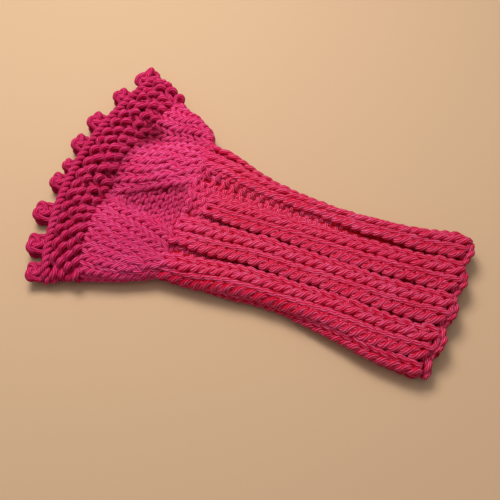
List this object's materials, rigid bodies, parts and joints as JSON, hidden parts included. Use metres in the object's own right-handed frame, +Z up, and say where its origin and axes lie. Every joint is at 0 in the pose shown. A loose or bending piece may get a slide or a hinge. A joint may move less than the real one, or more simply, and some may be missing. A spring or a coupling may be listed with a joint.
{
  "type": "knitted boot topper",
  "caption": "Hand-knitted boot topper laid flat: a ribbed tube that flares into a skirt with a garter band and a picot edge.",
  "frame": {"origin": "middle of the whole topper's box, on the surface it lies on", "axes": "+X along the ribbed leg towards its cast-on hem, +Y across it towards the far fold, +Z up from the surface"},
  "size_m": [0.2653, 0.175, 0.0171],
  "materials": {
    "leg_wool": "matt plied wool, knit two purl two rib",
    "skirt_wool": "matt plied wool, stocking stitch",
    "band_wool": "matt plied wool, garter stitch and picot cast-off"
  },
  "bodies": {
    "root": {"cast_on_edge": "leg_wool", "ribbed_leg": "leg_wool", "flared_skirt": "skirt_wool", "garter_band": "band_wool", "picot_01": "band_wool", "picot_02": "band_wool", "picot_03": "band_wool", "picot_04": "band_wool", "picot_05": "band_wool", "picot_06": "band_wool", "picot_07": "band_wool", "picot_08": "band_wool", "picot_09": "band_wool", "picot_10": "band_wool", "picot_11": "band_wool", "picot_12": "band_wool", "picot_13": "band_wool", "picot_14": "band_wool", "picot_15": "band_wool", "picot_16": "band_wool"}
  },
  "joints": []
}
